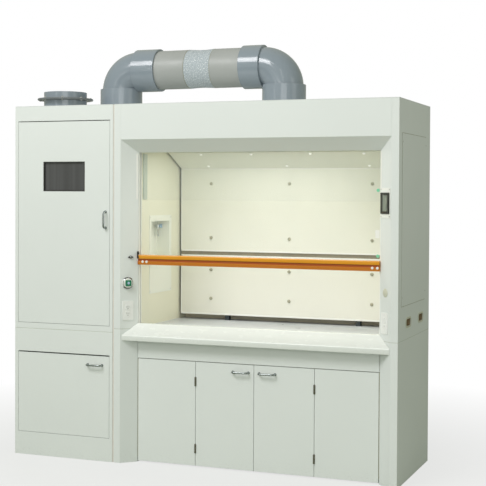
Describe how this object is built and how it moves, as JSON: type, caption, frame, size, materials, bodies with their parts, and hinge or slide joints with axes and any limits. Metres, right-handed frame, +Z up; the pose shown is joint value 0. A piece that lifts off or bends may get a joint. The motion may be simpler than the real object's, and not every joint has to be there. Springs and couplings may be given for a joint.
{
  "type": "fume hood",
  "caption": "Fume hood with an orange vertical-sash handle, base cupboard and sloped white sill, ducted over the roof to a tall scrubber cabinet with an exhaust collar.",
  "frame": {"origin": "on the floor under the middle of the hood and scrubber cabinet together", "axes": "+X to the right along the front, +Y to the back, +Z up; the sash and the doors face -Y"},
  "size_m": [2.5124, 0.835, 2.63],
  "materials": {
    "casing_paint": "fine satin powder coat, pale greenish white",
    "ledge_white": "smooth bright white enamel",
    "liner_cream": "smooth cream board",
    "worktop_grey": "semi-matt grey resin",
    "rail_brown": "brown-grey stoved paint",
    "glass": "clear toughened glass",
    "orange_aluminium": "orange stoved paint on extruded aluminium, with a dark groove",
    "chrome": "bright chrome plate",
    "pvc_blue_grey": "glossy blue-grey rigid PVC",
    "pvc_light_grey": "plain light grey rigid PVC",
    "sleeve_fabric": "coated woven fabric, pale blue-grey",
    "black_plastic": "black moulded plastic",
    "outlet_plastic": "pale grey moulded plastic",
    "green_plastic": "green cap on a white and chrome knob",
    "window_pane": "smoked pane in a black frame",
    "cast_iron": "bare cast iron and steel",
    "fan_metal": "grey painted steel",
    "filter_box": "pale plastic cell box"
  },
  "bodies": {
    "cabinet": {"base_side_left": "casing_paint", "base_side_right": "casing_paint", "base_floor": "casing_paint", "apron_panel": "casing_paint", "base_panel_left": "casing_paint", "base_panel_right": "casing_paint", "base_frame": "casing_paint", "side_skin_left": "casing_paint", "side_skin_right": "casing_paint", "access_panel": "casing_paint", "header_panel": "casing_paint", "hood_roof": "casing_paint", "rear_panel": "casing_paint", "sash_guide_left": "casing_paint", "sash_guide_right": "casing_paint", "lamp_housing": "casing_paint", "scrubber_upper_casing": "casing_paint", "scrubber_lower_casing": "casing_paint", "scrubber_roof": "casing_paint", "sill_ledge": "ledge_white", "liner_left": "liner_cream", "liner_right": "liner_cream", "ceiling_panel": "liner_cream", "baffle_lower": "liner_cream", "baffle_upper": "liner_cream", "baffle_top": "liner_cream", "service_niche": "liner_cream", "work_surface": "worktop_grey", "baffle_frame": "rail_brown", "upper_glass": "glass", "gas_cock": "chrome", "hood_elbow": "pvc_blue_grey", "scrubber_elbow": "pvc_blue_grey", "exhaust_collar": "pvc_blue_grey", "duct_pipe_left": "pvc_light_grey", "duct_pipe_right": "pvc_light_grey", "flexible_connector": "sleeve_fabric", "airflow_monitor": "black_plastic", "outlet_left": "outlet_plastic", "outlet_right": "outlet_plastic", "fan_housing": "fan_metal", "filter_cartridge": "filter_box"},
    "sash": {"sash_glass": "glass", "sash_handle_bar": "orange_aluminium"},
    "counterweights": {"counterweight_left": "cast_iron", "counterweight_right": "cast_iron"},
    "cable_axle": {"sash_axle": "cast_iron"},
    "left_base_door": {"base_door_left": "casing_paint", "base_handle_left": "chrome"},
    "right_base_door": {"base_door_right": "casing_paint", "base_handle_right": "chrome"},
    "scrubber_upper_door": {"upper_door": "casing_paint", "upper_window": "window_pane", "upper_handle": "chrome"},
    "scrubber_lower_door": {"lower_door": "casing_paint", "lower_handle": "chrome"},
    "control_knob": {"tap_knob": "green_plastic"},
    "selector": {"selector_knob": "black_plastic"},
    "cock_knob": {"gas_cock_knob": "pvc_blue_grey"},
    "impeller": {"fan_impeller": "fan_metal"}
  },
  "joints": [
    {"name": "sash_slide", "type": "slide", "parent": "cabinet", "child": "sash", "axis": [0, 0, 1], "range_m": [-0.364, 0.16]},
    {"name": "counterweight_slide", "type": "slide", "parent": "cabinet", "child": "counterweights", "axis": [0, 0, 1], "range_m": [-0.17, 0.374]},
    {"name": "axle_turn", "type": "hinge", "parent": "cabinet", "child": "cable_axle", "pos_m": [0.355, -0.2175, 2.15], "axis": [1, 0, 0], "range_deg": [-165, 360]},
    {"name": "left_base_door_hinge", "type": "hinge", "parent": "cabinet", "child": "left_base_door", "pos_m": [-0.026, -0.3025, 0.328], "axis": [0, 0, -1], "range_deg": [0, 105]},
    {"name": "right_base_door_hinge", "type": "hinge", "parent": "cabinet", "child": "right_base_door", "pos_m": [0.736, -0.3025, 0.328], "axis": [0, 0, 1], "range_deg": [0, 105]},
    {"name": "upper_door_hinge", "type": "hinge", "parent": "cabinet", "child": "scrubber_upper_door", "pos_m": [-1.231, -0.3825, 1.4875], "axis": [0, 0, -1], "range_deg": [0, 110]},
    {"name": "lower_door_hinge", "type": "hinge", "parent": "cabinet", "child": "scrubber_lower_door", "pos_m": [-1.229, -0.3825, 0.402], "axis": [0, 0, -1], "range_deg": [0, 110]},
    {"name": "control_knob_turn", "type": "hinge", "parent": "cabinet", "child": "control_knob", "pos_m": [-0.46836, -0.34968, 1.118], "axis": [0.6983, -0.7158, 0], "range_deg": [0, 90]},
    {"name": "selector_turn", "type": "hinge", "parent": "cabinet", "child": "selector", "pos_m": [-0.45476, -0.33641, 1.278], "axis": [0.6983, -0.7158, 0], "range_deg": [-45, 45]},
    {"name": "cock_knob_turn", "type": "hinge", "parent": "cabinet", "child": "cock_knob", "pos_m": [-0.461, 0.1135, 1.462], "axis": [1, 0, 0], "range_deg": [0, 90]},
    {"name": "fan_spin", "type": "hinge", "parent": "cabinet", "child": "impeller", "pos_m": [-1.05, -0.1025, 2.01], "axis": [0, 0, 1], "continuous": true}
  ],
  "couplings": [
    {"joint": "counterweight_slide", "follows": "sash_slide", "ratio": -1},
    {"joint": "axle_turn", "follows": "sash_slide", "rad_per_m": -16.667}
  ]
}
